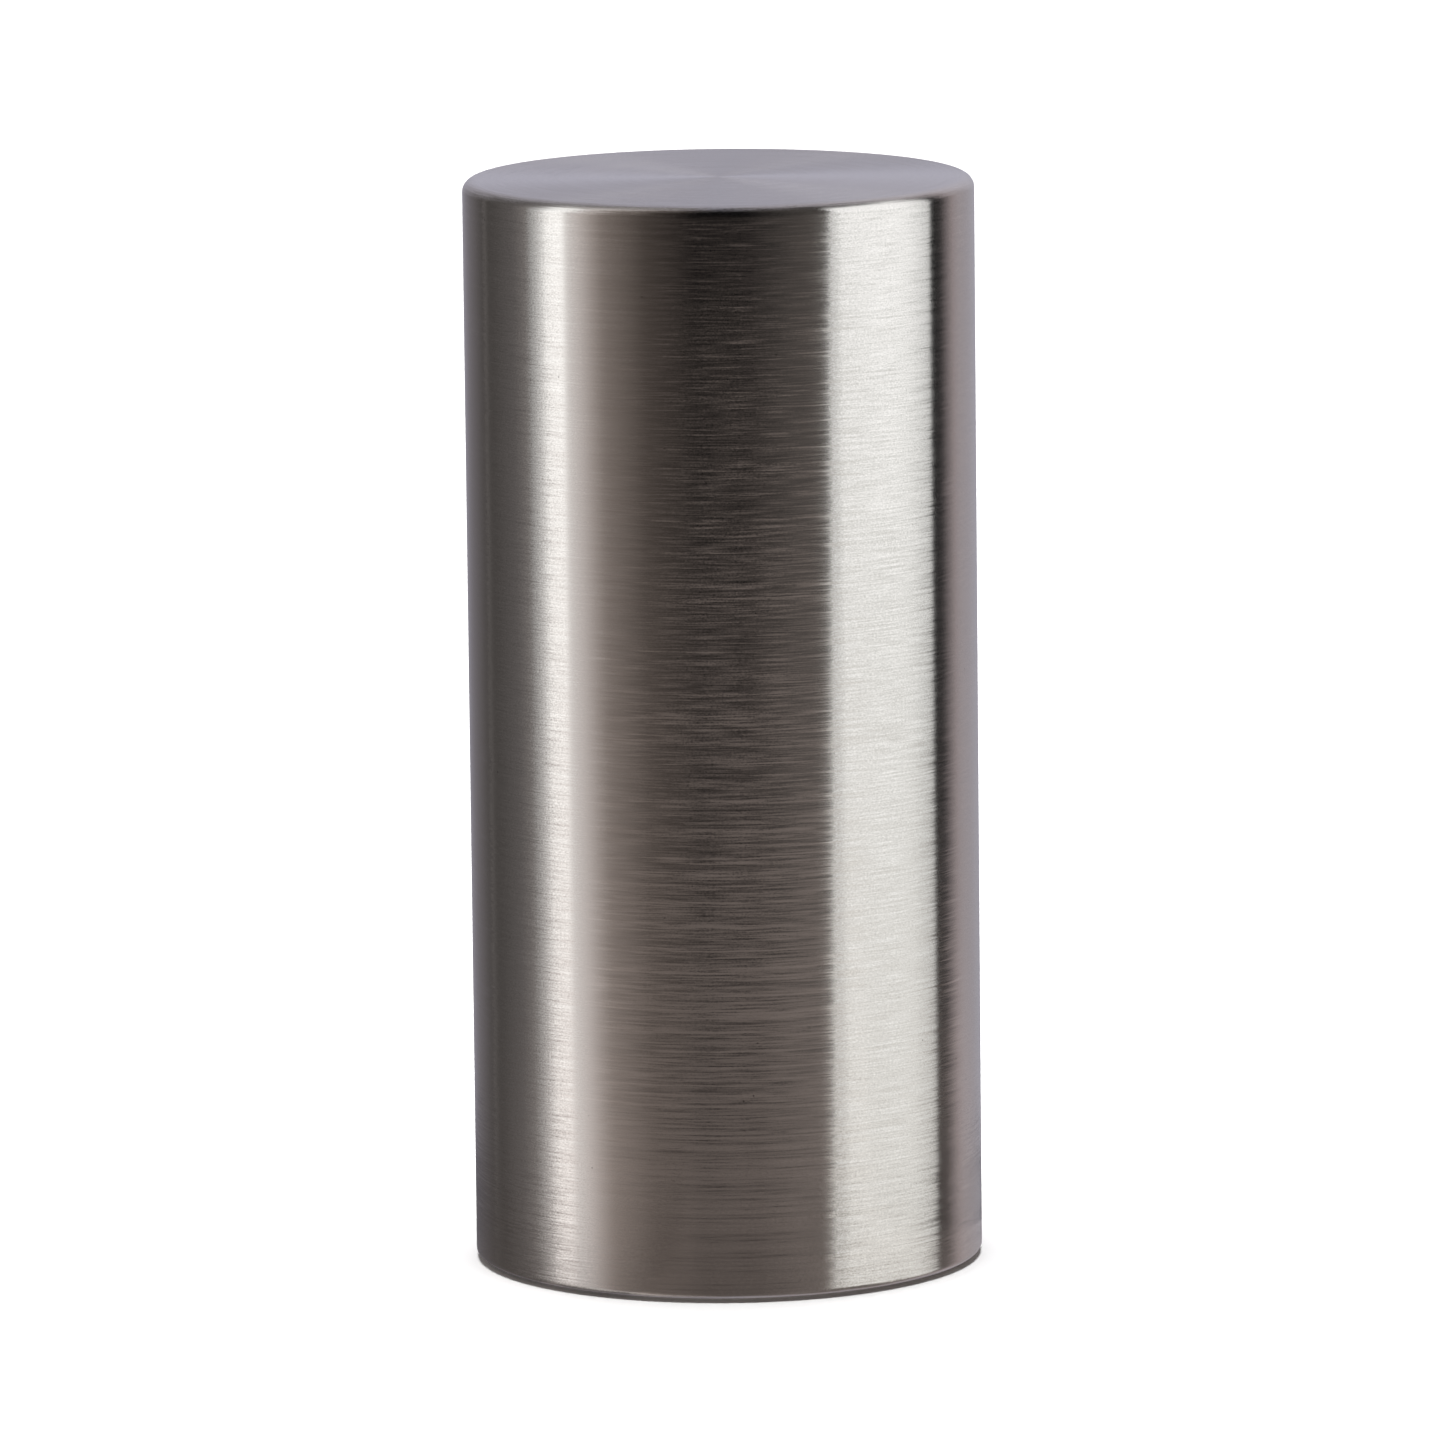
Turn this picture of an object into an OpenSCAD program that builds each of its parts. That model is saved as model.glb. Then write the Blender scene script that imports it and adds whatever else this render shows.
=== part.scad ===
// Cryptex under a plain slip-on cover.
// A brushed steel cup hides a stack of five letter dials that turn on a slotted barrel.
// A vault tube slides in the barrel, and its row of studs rides in a channel inside each
// dial. The studs can leave only when the gate of every dial faces the barrel's slot.
// Units are millimetres, +Z is up, and the origin is the centre of the resting face.
// The slot, the gates and the index marks face -Y.

/* [Overall] */
// Outside diameter of the cover
cover_d = 50; // [44:1:70]
// Height of the closed object, from the foot pad to the cover's top
total_h = 107; // [88:1:150]

/* [Cover] */
// Thickness of the cover's side wall
cover_wall = 1.2; // [0.8:0.1:2.4]
// Thickness of the cover's top
cover_top_t = 1.6; // [1.2:0.1:3]
// Outside radius of the cover's top edge
cover_edge_r = 1.2; // [0.6:0.1:2]
// Inside radius where the cover's wall meets its top
cover_corner_r = 0.8; // [0.4:0.1:2]
// Thickness of the felt disc glued under the cover's top
felt_t = 1; // [0.5:0.1:2]
// Diameter of the felt disc
felt_d = 34; // [20:1:36]

/* [Base] */
// Height of the deck that the dials stand on
deck_z = 14; // [13:0.5:20]
// Height of the base's skirt, which fills the cover's mouth
skirt_z = 8.4; // [7.5:0.1:9]
// Diameter of the foot pad
foot_d = 38; // [30:1:40]
// Thickness of the foot pad
foot_t = 1.6; // [1:0.1:2.4]
// How far the foot pad stands below the base and the cover's rim
foot_proud = 0.4; // [0.2:0.1:0.8]

/* [Dials] */
// Wall of the letter ring, from its face to its bore
letter_ring_wall = 3.6; // [2.6:0.1:5]
// Gap between the dials and the cover's bore
dial_gap = 0.8; // [0.4:0.1:1.5]
// Thickness of the lip that holds the gate ring in the letter ring
lip_t = 1.2; // [0.8:0.1:2]
// Thickness of the keyed spacer discs
spacer_t = 0.6; // [0.4:0.1:1.2]
// Depth of the grip grooves between the letters
grip_depth = 0.35; // [0.1:0.05:0.6]
// Diameter of the pin that keys a gate ring to its letter ring
code_pin_d = 1.6; // [1:0.1:2]
// Length of that pin
code_pin_l = 8; // [4:0.5:9]

/* [Lock] */
// Diameter of the lock studs on the vault tube
stud_d = 3; // [2:0.1:4]
// Wall of the gate ring outside the stud channel
gate_wall = 1.8; // [1.4:0.1:3]
// Side clearance of a stud in the slot and in the gates
stud_side_play = 0.2; // [0.1:0.05:0.4]
// Clearance above, below and beyond a stud in its channel
stud_channel_play = 0.4; // [0.2:0.05:0.8]

/* [Vault] */
// Bore of the vault tube
vault_bore = 15; // [12:0.5:18]
// Wall of the vault tube
vault_wall = 1.5; // [1:0.1:2.2]
// Wall of the barrel
barrel_wall = 1.6; // [1.2:0.1:2.4]
// Height of the head that closes the vault tube
head_h = 15; // [13:0.5:20]
// Height of the collar that keeps the dials on the barrel
collar_h = 8; // [6:0.5:12]

/* [Hidden] */
dial_count = 5;
letter_count = 26;
index_a = -90;          // direction of the slot, the gates and the index marks
step_a = 360 / letter_count;
screw_angles = [0, 120, 240];    // clear of the slot at -Y and the keyway at +Y

$fn = 96;
cut = 1;                // how far a cutting shape runs past the face that it opens

// Clearances
seat_gap = 0.05;        // faces of two bodies that rest on each other
slide_play = 0.1;       // vault tube in the barrel, on the radius
turn_play = 0.08;       // gate rings and spacers on the barrel, on the radius
ring_fit = 0.05;        // gate ring in the letter ring, and collar on the barrel, on the radius
base_gap = 0.25;        // base skirt and head flange in the cover, on the radius
end_play = 0.05;        // each side of a dial, along the axis
vault_floor_gap = 0.6;  // under the vault tube's mouth

// Radii, from the cover inwards and from the vault outwards
cover_r = cover_d / 2;
cover_bore_r = cover_r - cover_wall;
dial_r = cover_bore_r - dial_gap;
ring_bore_r = dial_r - letter_ring_wall;
gate_r = ring_bore_r - ring_fit;
channel_r = gate_r - gate_wall;
stud_tip_r = channel_r - stud_channel_play;
vault_r = vault_bore / 2 + vault_wall;
barrel_bore_r = vault_r + slide_play;
barrel_r = barrel_bore_r + barrel_wall;
gate_bore_r = barrel_r + turn_play;
slot_w = stud_d + 2 * stud_side_play;

// Heights, from the top down to the dials
cover_ceiling_z = total_h - cover_top_t;
head_top_z = cover_ceiling_z - felt_t - seat_gap;
head_z = head_top_z - head_h;
collar_top_z = head_z - seat_gap;
collar_z = collar_top_z - collar_h;
collar_gap = 0.3;       // between the collar and the top spacer
spring_h = 1.2;         // working height of the wave spring
stack_top_z = collar_z - collar_gap;
pitch = (stack_top_z - spacer_t - deck_z) / dial_count;
dial_h = pitch - spacer_t - 2 * end_play;
gate_h = dial_h - lip_t;
function spacer_z(i) = deck_z + (i - 1) * pitch;
function dial_z(i) = spacer_z(i) + spacer_t + end_play;
function stud_z(i) = dial_z(i) + gate_h / 2;

// Small features
edge = 0.4;             // chamfer on turned edges
grip_r = 0.6;           // radius of the tool that cuts the grip grooves
code_seat_r = code_pin_d / 2 + 0.02;
o_ring_d = 1.6;         // section of the O-rings
o_ring_squeeze_gap = 0.05;
o_ring_r = cover_bore_r - o_ring_squeeze_gap - o_ring_d / 2;
o_groove_h = o_ring_d + 0.3;
o_groove_r = o_ring_r - o_ring_d / 2 - 0.02;
pin_d = 1.5;            // index pins
pin_l = 4.5;
pin_proud = 0.15;

// Barrel flange and its screws
flange_t = 3;
flange_r = barrel_r + 4.4;
flange_z = deck_z - flange_t - seat_gap;
keyway_w = 2.2;
keyway_depth = 0.8;
base_screw_d = 2.5;
base_screw_pcr = (barrel_r + flange_r) / 2;
base_screw_head_d = 4.7;
base_screw_bite = 2.4;  // length in the flange
screw_hex_af = 1.5;

// Collar screws and head screws
collar_screw_d = 2;
head_screw_d = 3;
grub_sunk = 3.4;        // how far their sockets sit below the face
grub_hex_af = 0.9;

// Head
socket_depth = 11;
head_skirt_h = 4;
head_flange_h = 5.6;
neck_r = dial_r - 2.4;
flute_count = 36;
flute_r = 0.9;
flute_depth = 0.5;
flute_land = 0.8;       // plain neck above and below the flutes
collar_screw_l = dial_r - grub_sunk - barrel_r - ring_fit;
head_screw_l = neck_r - grub_sunk - vault_r;
vault_z = flange_z + vault_floor_gap;

// Wave spring
spring_in_r = channel_r + 0.6;
spring_out_r = dial_r - 1.5;
spring_t = 0.35;
spring_waves = 4;
spring_steps = 72;
spring_relief = 0.3;    // recess beside the spring, on the radius

// ---- Shared shapes ----

// A tube or disc turned about the axis, with chamfered outside edges.
module turned(r_out, r_in, z, h, c = edge) {
    rotate_extrude()
        polygon([
            [r_in, z], [r_out - c, z], [r_out, z + c],
            [r_out, z + h - c], [r_out - c, z + h], [r_in, z + h]]);
}

// A plain tube, for cutting grooves and recesses.
module band(r_out, r_in, z, h) {
    translate([0, 0, z])
        difference() {
            cylinder(r = r_out, h = h);
            translate([0, 0, -cut]) cylinder(r = r_in, h = h + 2 * cut);
        }
}

// A round bar along a radius, from r1 to r2, at height z and angle a.
module spoke(d, r1, r2, z, a) {
    rotate([0, 0, a])
        translate([r1, 0, z])
            rotate([0, 90, 0])
                cylinder(d = d, h = r2 - r1, $fn = 32);
}

// A block that reaches from the axis to radius r at angle a.
module radial_block(r, w, z, h, a) {
    rotate([0, 0, a])
        translate([0, -w / 2, z])
            cube([r, w, h]);
}

// A round-ended rectangle in the r-z plane, rounded at its top outer corner only.
module cup_profile(r, z1, z2, corner) {
    translate([0, z1]) square([r, z2 - corner - z1]);
    translate([0, z1]) square([r - corner, z2 - z1]);
    translate([r - corner, z2 - corner]) circle(r = corner);
}

// A headless screw with a hex socket, along a radius, its socket facing out.
module grub_screw(d, l, r1, z, a, hex_af) {
    difference() {
        spoke(d, r1, r1 + l, z, a);
        rotate([0, 0, a])
            translate([r1 + l - d * 0.6, 0, z])
                rotate([0, 90, 0])
                    cylinder(r = hex_af / sqrt(3), h = d, $fn = 6);
    }
}

// A dowel pressed in at the index, standing slightly proud of radius r.
module index_pin(r, z) {
    color("goldenrod")
        spoke(pin_d, r - pin_l, r + pin_proud, z, index_a);
}

module index_pin_hole(r, z) {
    spoke(pin_d, r - pin_l, r + cut, z, index_a);
}

// ---- Cover ----

// The drawn steel cup: straight wall, flat top, rolled lower rim.
module cover() {
    rim_r = cover_wall / 2;
    color([0.66, 0.65, 0.63])
        rotate_extrude() {
            difference() {
                cup_profile(cover_r, foot_proud + rim_r, total_h, cover_edge_r);
                translate([0, -cut])
                    cup_profile(cover_bore_r, foot_proud + rim_r, cover_ceiling_z + cut,
                                cover_corner_r);
            }
            translate([cover_r - rim_r, foot_proud + rim_r]) circle(r = rim_r);
        }
}

// The felt disc that lands on the vault head.
module cover_felt() {
    color([0.12, 0.12, 0.13])
        translate([0, 0, cover_ceiling_z - felt_t])
            cylinder(d = felt_d, h = felt_t);
}

// ---- Base ----

base_pin_z = (skirt_z + deck_z) / 2 + 0.3;
base_o_ring_z = (foot_proud + skirt_z) / 2;

// The turned base: skirt with an O-ring groove, deck, recesses and screw holes.
module base() {
    color([0.60, 0.59, 0.58])
        difference() {
            union() {
                turned(cover_bore_r - base_gap, 0, foot_proud, skirt_z - foot_proud);
                turned(dial_r, 0, skirt_z - edge, deck_z - skirt_z + edge);
            }
            translate([0, 0, -cut]) cylinder(d = foot_d, h = foot_t + cut);
            band(cover_r, o_groove_r, base_o_ring_z - o_groove_h / 2, o_groove_h);
            translate([0, 0, flange_z]) cylinder(r = flange_r + ring_fit, h = flange_t + cut);
            for (a = screw_angles) rotate([0, 0, a]) base_screw_hole();
            index_pin_hole(dial_r, base_pin_z);
        }
}

module base_screw_hole() {
    translate([base_screw_pcr, 0, 0]) {
        cylinder(d = base_screw_d + 0.3, h = flange_z + cut, $fn = 32);
        translate([0, 0, foot_t - 0.01])
            cylinder(d1 = base_screw_head_d + 0.3, d2 = base_screw_d + 0.3,
                     h = (base_screw_head_d - base_screw_d) / 2 + 0.25, $fn = 32);
    }
}

module foot_pad() {
    color([0.08, 0.08, 0.08]) turned(foot_d / 2 - ring_fit, 0, 0, foot_t, 0.2);
}

module base_o_ring() {
    o_ring(base_o_ring_z);
}

module o_ring(z) {
    color([0.05, 0.05, 0.05])
        translate([0, 0, z])
            rotate_extrude()
                translate([o_ring_r, 0]) circle(d = o_ring_d, $fn = 32);
}

// Three countersunk screws that hold the barrel's flange, from below.
module base_screws() {
    head_h = (base_screw_head_d - base_screw_d) / 2;
    color("silver")
        for (a = screw_angles)
            rotate([0, 0, a])
                translate([base_screw_pcr, 0, foot_t + 0.1])
                    difference() {
                        union() {
                            cylinder(d1 = base_screw_head_d, d2 = base_screw_d,
                                     h = head_h, $fn = 32);
                            cylinder(d = base_screw_d,
                                     h = flange_z + base_screw_bite - foot_t - 0.1, $fn = 32);
                        }
                        translate([0, 0, -cut])
                            cylinder(r = screw_hex_af / sqrt(3), h = cut + 1.1, $fn = 6);
                    }
}

module base_index_pin() {
    index_pin(dial_r, base_pin_z);
}

// ---- Barrel ----

slot_z = stud_z(1) - stud_channel_play;

// The fixed tube that the dials turn on: flange below, slot at the index, keyway behind.
module barrel() {
    color([0.58, 0.57, 0.56])
        difference() {
            union() {
                translate([0, 0, flange_z]) cylinder(r = flange_r, h = flange_t);
                translate([0, 0, flange_z]) cylinder(r = barrel_r, h = collar_top_z - flange_z);
            }
            translate([0, 0, flange_z - cut])
                cylinder(r = barrel_bore_r, h = collar_top_z - flange_z + 2 * cut);
            radial_block(flange_r, slot_w, slot_z, collar_top_z - slot_z + cut, index_a);
            spoke(slot_w, 0, flange_r, slot_z, index_a);
            rotate([0, 0, index_a + 180])
                translate([barrel_r - keyway_depth, -keyway_w / 2, deck_z - seat_gap])
                    cube([flange_r, keyway_w, collar_top_z - deck_z + cut]);
            for (a = screw_angles)
                rotate([0, 0, a])
                    translate([base_screw_pcr, 0, flange_z - cut])
                        cylinder(d = base_screw_d, h = base_screw_bite + cut + 0.1, $fn = 32);
        }
}

// A disc between two dials. Its tab sits in the keyway, so that turning one dial
// doesn't drag the next, and its notch lets the studs through.
module spacer(i) {
    z = spacer_z(i);
    tab_w = keyway_w - 0.2;
    color([0.80, 0.62, 0.30])
        difference() {
            union() {
                band(dial_r - edge, gate_bore_r, z, spacer_t);
                rotate([0, 0, index_a + 180])
                    translate([barrel_r - keyway_depth + 0.1, -tab_w / 2, z])
                        cube([gate_wall + keyway_depth, tab_w, spacer_t]);
            }
            radial_block(channel_r, slot_w, z - cut, spacer_t + 2 * cut, index_a);
        }
}

// ---- Dials ----

// The outside of a dial: grip grooves between the letters, code seats in the bore.
module letter_ring(i) {
    z = dial_z(i);
    color([0.70, 0.69, 0.67])
        difference() {
            turned(dial_r, channel_r, z, dial_h);
            translate([0, 0, z - cut]) cylinder(r = ring_bore_r, h = gate_h + cut);
            for (k = [0:letter_count - 1]) {
                rotate([0, 0, index_a + (k + 0.5) * step_a])
                    translate([dial_r + grip_r - grip_depth, 0, z - cut])
                        cylinder(r = grip_r, h = dial_h + 2 * cut, $fn = 24);
                rotate([0, 0, index_a + k * step_a])
                    translate([ring_bore_r, 0, z - cut])
                        cylinder(r = code_seat_r, h = code_pin_l + cut, $fn = 24);
            }
        }
}

// The inside of a dial: a ring with a channel that the stud sweeps, and the gate.
module gate_ring(i) {
    z = dial_z(i);
    channel_h = stud_d + 2 * stud_channel_play;
    color([0.78, 0.60, 0.28])
        difference() {
            band(gate_r, gate_bore_r, z, gate_h);
            band(channel_r, 0.5 * gate_bore_r, stud_z(i) - channel_h / 2, channel_h);
            radial_block(channel_r, slot_w, z - cut, gate_h + 2 * cut, index_a);
            rotate([0, 0, index_a + 180])
                translate([ring_bore_r, 0, z - cut])
                    cylinder(r = code_seat_r, h = code_pin_l + cut, $fn = 24);
        }
}

// The dowel that sets which letter stands over the gate.
module code_pin(i) {
    color("silver")
        rotate([0, 0, index_a + 180])
            translate([ring_bore_r, 0, dial_z(i)])
                cylinder(d = code_pin_d, h = code_pin_l, $fn = 24);
}

// ---- Collar and spring ----

collar_pin_z = collar_z + collar_h / 2;

// The ring that keeps the dials on the barrel.
module collar() {
    color([0.60, 0.59, 0.58])
        difference() {
            turned(dial_r, barrel_r + ring_fit, collar_z, collar_h);
            band(spring_out_r + spring_relief, spring_in_r - spring_relief,
                 collar_z - cut, cut + spring_h - collar_gap);
            radial_block(channel_r, slot_w, collar_z - cut, collar_h + 2 * cut, index_a);
            for (a = screw_angles)
                spoke(collar_screw_d, 0, cover_r, collar_z + collar_h * 0.6, a);
            index_pin_hole(dial_r, collar_pin_z);
        }
}

module collar_screws() {
    color([0.2, 0.2, 0.2])
        for (a = screw_angles)
            grub_screw(collar_screw_d, collar_screw_l, barrel_r + ring_fit,
                       collar_z + collar_h * 0.6, a, grub_hex_af);
}

module collar_index_pin() {
    index_pin(dial_r, collar_pin_z);
}

function spring_mid(a) = (spring_h - spring_t - 0.02) / 2 * cos(spring_waves * a);

// A flat wire ring pressed into waves, which keeps the stack of dials from rattling.
module wave_spring() {
    zc = stack_top_z + spring_h / 2;
    points = [
        for (k = [0:spring_steps - 1], c = [0:3])
            let (a = 360 * k / spring_steps,
                 r = (c == 0 || c == 3) ? spring_in_r : spring_out_r,
                 z = zc + spring_mid(a) + (c < 2 ? -spring_t / 2 : spring_t / 2))
                [r * cos(a), r * sin(a), z]];
    faces = [
        for (k = [0:spring_steps - 1], c = [0:3])
            let (here = 4 * k, next = 4 * ((k + 1) % spring_steps), d = (c + 1) % 4)
                [here + c, here + d, next + d, next + c]];
    color("lightsteelblue") polyhedron(points, faces, convexity = 4);
}

// ---- Vault ----

head_flange_z = head_top_z - head_flange_h;
flute_z = head_z + head_skirt_h + flute_land;
head_o_ring_z = head_flange_z + head_flange_h / 2 - 0.2;
head_pin_z = head_z + head_skirt_h / 2;
head_screw_z = (head_z + head_skirt_h + head_flange_z) / 2;

// The knob on top of the vault tube: skirt with the index, fluted neck, flange for the cover.
module vault_head() {
    color([0.62, 0.61, 0.60])
        difference() {
            union() {
                turned(dial_r, 0, head_z, head_skirt_h);
                translate([0, 0, head_z]) cylinder(r = neck_r, h = head_h - edge);
                turned(cover_bore_r - base_gap, 0, head_flange_z, head_flange_h, 0.6);
            }
            for (k = [0:flute_count - 1])
                rotate([0, 0, index_a + (k + 0.5) * 360 / flute_count])
                    translate([neck_r + flute_r - flute_depth, 0, flute_z])
                        cylinder(r = flute_r, h = head_flange_z - flute_land - flute_z, $fn = 24);
            band(cover_r, o_groove_r, head_o_ring_z - o_groove_h / 2, o_groove_h);
            translate([0, 0, head_z - cut]) cylinder(r = vault_r, h = socket_depth + cut);
            for (a = [0, 180]) spoke(head_screw_d, 0, cover_r, head_screw_z, a);
            index_pin_hole(dial_r, head_pin_z);
        }
}

module head_o_ring() {
    o_ring(head_o_ring_z);
}

// Two grub screws that lock the head to the vault tube.
module head_screws() {
    color([0.2, 0.2, 0.2])
        for (a = [0, 180])
            grub_screw(head_screw_d, head_screw_l, vault_r, head_screw_z, a, screw_hex_af);
}

module head_index_pin() {
    index_pin(dial_r, head_pin_z);
}

// The tube that holds what is hidden, open at its lower end.
module vault_tube() {
    color([0.64, 0.63, 0.62])
        difference() {
            translate([0, 0, vault_z]) cylinder(r = vault_r, h = head_z + socket_depth - vault_z);
            translate([0, 0, vault_z - cut]) cylinder(d = vault_bore, h = total_h);
            for (i = [1:dial_count]) spoke(stud_d, 0, stud_tip_r, stud_z(i), index_a);
        }
}

// The row of studs pressed into the vault tube, one for each dial.
module lock_studs() {
    tip = 0.4;
    color("goldenrod")
        for (i = [1:dial_count]) {
            spoke(stud_d, vault_bore / 2 + 0.1, stud_tip_r - tip, stud_z(i), index_a);
            rotate([0, 0, index_a])
                translate([stud_tip_r - tip, 0, stud_z(i)])
                    rotate([0, 90, 0])
                        cylinder(d1 = stud_d, d2 = stud_d - 2 * tip, h = tip, $fn = 32);
        }
}

// ---- Assembly ----

cover();
cover_felt();
base();
foot_pad();
base_o_ring();
base_screws();
base_index_pin();
barrel();
wave_spring();
collar();
collar_screws();
collar_index_pin();
vault_head();
head_o_ring();
head_screws();
head_index_pin();
vault_tube();
lock_studs();
for (i = [1:dial_count + 1]) spacer(i);
for (i = [1:dial_count]) letter_ring(i);
for (i = [1:dial_count]) gate_ring(i);
for (i = [1:dial_count]) code_pin(i);
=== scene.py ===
"""A cryptex under a plain brushed steel cover: five letter dials that lock a sliding vault tube."""

from math import atan2, cos, pi, radians, sin, sqrt

import bmesh
import bpy
from mathutils import Matrix, Vector, noise


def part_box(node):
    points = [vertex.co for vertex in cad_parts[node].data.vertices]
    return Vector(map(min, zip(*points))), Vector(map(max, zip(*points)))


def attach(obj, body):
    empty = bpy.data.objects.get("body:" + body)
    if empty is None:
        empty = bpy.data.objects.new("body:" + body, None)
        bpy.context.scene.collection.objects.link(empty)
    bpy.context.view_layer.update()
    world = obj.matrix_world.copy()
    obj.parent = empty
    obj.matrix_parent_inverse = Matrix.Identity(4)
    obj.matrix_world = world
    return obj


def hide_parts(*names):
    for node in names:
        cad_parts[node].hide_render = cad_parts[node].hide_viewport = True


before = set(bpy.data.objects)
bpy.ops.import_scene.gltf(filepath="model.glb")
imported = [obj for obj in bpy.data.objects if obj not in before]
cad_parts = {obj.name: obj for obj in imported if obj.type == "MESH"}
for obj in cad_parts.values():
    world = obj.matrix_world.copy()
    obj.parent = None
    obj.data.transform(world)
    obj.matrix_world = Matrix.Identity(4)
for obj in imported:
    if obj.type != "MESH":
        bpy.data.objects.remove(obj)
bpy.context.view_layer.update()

# ---- Camera ----
# A long lens on a stand, a little above the object and far away, so that the sides
# stay almost parallel. The stand leans a touch, which tips the cylinder to the left.

cover_low, cover_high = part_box("cover")
cover_r = cover_high.x
cover_d = 2 * cover_r
total_h = cover_high.z

camera_distance = 23.81 * cover_d
camera_height_angle = radians(9.22)
camera_roll = radians(-0.613)
aim = Vector((-0.0026, 0, 1.0594)) * cover_d

lens = bpy.data.cameras.new("long_lens")
lens.sensor_width = 36
lens.lens = 301.5
lens.clip_end = 20
camera = bpy.data.objects.new("camera", lens)
camera.location = aim + camera_distance * Vector((0, -cos(camera_height_angle), sin(camera_height_angle)))
camera.rotation_mode = "QUATERNION"
level = (aim - camera.location).to_track_quat("-Z", "Y")
camera.rotation_quaternion = level @ Matrix.Rotation(camera_roll, 3, "Z").to_quaternion()
bpy.context.scene.collection.objects.link(camera)
bpy.context.scene.camera = camera
bpy.context.scene.view_settings.view_transform = "Standard"

# ---- Studio ----
# A white table that runs into a white backdrop. A tall softbox stands to the right and a
# narrow strip light to the left; the room in front is dark, and the wall behind is pale.

table_reach = 1.3
card_distance = 0.3
card_foot = -0.2
card_top = 0.4
lamp_size = 1.2
lamp_power = 140
lamp_height = 3
patch_depth = 0.0005
patch_colour = (1, 0.83, 0.76, 1)


def wire(tree, kind, **inputs):
    """Adds a node to a tree and sets its inputs, each to a value or to another node's output.

    An input goes by the name of its property or socket, with _ for a space, or by its number, as _0.
    """
    node = tree.nodes.new(kind)
    for name, value in inputs.items():
        if name in node.bl_rna.properties:
            setattr(node, name, value)
            continue
        numbered = name[1:].isdigit()
        socket = node.inputs[int(name[1:])] if numbered else node.inputs[name.replace("_", " ")]
        if isinstance(value, bpy.types.NodeSocket):
            tree.links.new(value, socket)
        else:
            socket.default_value = value
    return node


def number(tree, operation, *terms):
    """Works out one number from others."""
    numbered = {"_%d" % k: term for k, term in enumerate(terms)}
    return wire(tree, "ShaderNodeMath", operation=operation, **numbered).outputs[0]


def vector(tree, operation, *terms, **scale):
    """Works out a vector from others, or a number where the operation gives one."""
    numbered = {"_%d" % k: term for k, term in enumerate(terms)}
    node = wire(tree, "ShaderNodeVectorMath", operation=operation, **numbered, **scale)
    gives_number = operation in ("LENGTH", "DISTANCE", "DOT_PRODUCT")
    return node.outputs["Value" if gives_number else "Vector"]


def split(tree, whole):
    """The X, Y and Z of a vector."""
    return wire(tree, "ShaderNodeSeparateXYZ", _0=whole).outputs


def ranged(tree, value, low, high, to_low=0.0, to_high=1.0, **how):
    """A value carried over from one range to another, and held at its ends."""
    return wire(tree, "ShaderNodeMapRange", Value=value, From_Min=low, From_Max=high,
                To_Min=to_low, To_Max=to_high, **how).outputs[0]


def ramp(tree, factor, stops):
    """A colour that runs through (place, colour) stops."""
    node = wire(tree, "ShaderNodeValToRGB", Fac=factor)
    elements = node.color_ramp.elements
    while len(elements) < len(stops):
        elements.new(0.5)
    for element, (place, colour) in zip(elements, stops):
        element.position = place
        element.color = (*colour, 1)
    return node.outputs["Color"]


def new_material(name):
    """A new material, its empty tree of nodes, and the piece's own coordinates in that tree."""
    material = bpy.data.materials.new(name)
    material.use_nodes = True
    tree = material.node_tree
    tree.nodes.clear()
    return material, tree, wire(tree, "ShaderNodeTexCoord").outputs["Object"]


def surface(tree, **inputs):
    """Ends a material's tree in the shader of a solid surface."""
    shader = wire(tree, "ShaderNodeBsdfPrincipled", **inputs)
    wire(tree, "ShaderNodeOutputMaterial", Surface=shader.outputs[0])


def piece(name, shape, material):
    """Turns a finished bmesh into an object of the scene."""
    mesh = bpy.data.meshes.new(name)
    shape.to_mesh(mesh)
    shape.free()
    mesh.materials.append(material)
    thing = bpy.data.objects.new(name, mesh)
    bpy.context.scene.collection.objects.link(thing)
    return thing


def stage_piece(name, shape, material, *rays):
    """A piece of the studio, visible to the named kinds of ray and to no others."""
    thing = piece(name, shape, material)
    for ray in ("camera", "diffuse", "glossy", "transmission", "volume_scatter", "shadow"):
        setattr(thing, "visible_" + ray, ray in rays)


def light_card(name, left, right, glow, shades):
    """An upright card that shines on the steel, and that nothing else sees.

    Left and right are its sides' azimuths at the foot and at the top, in degrees from the
    front. Glow is its strength by azimuth, and shades its colour by share of its height.
    """
    middle = radians(sum(left + right) / 4)
    shape = bmesh.new()
    corners = [(left[0], card_foot), (right[0], card_foot), (right[1], card_top), (left[1], card_top)]
    verts = []
    for azimuth, height in corners:
        turn = radians(azimuth)
        reach = card_distance / cos(turn - middle)
        verts.append(shape.verts.new((reach * sin(turn), -reach * cos(turn), height)))
    shape.faces.new(verts)

    material, tree, place = new_material(name)
    x, y, z = split(tree, place)
    shade = ramp(tree, ranged(tree, z, card_foot, card_top), shades)
    azimuth = number(tree, "DEGREES", number(tree, "ARCTAN2", x, number(tree, "MULTIPLY", y, -1.0)))
    first, last = glow[0][0], glow[-1][0]
    brightest = max(level for turn, level in glow)
    levels = ramp(tree, ranged(tree, azimuth, first, last),
                  [((turn - first) / (last - first), [level / brightest] * 3) for turn, level in glow])
    strength = number(tree, "MULTIPLY", levels, brightest)
    shine = wire(tree, "ShaderNodeEmission", Color=shade, Strength=strength)
    wire(tree, "ShaderNodeOutputMaterial", Surface=shine.outputs[0])
    stage_piece(name, shape, material, "glossy")


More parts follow.
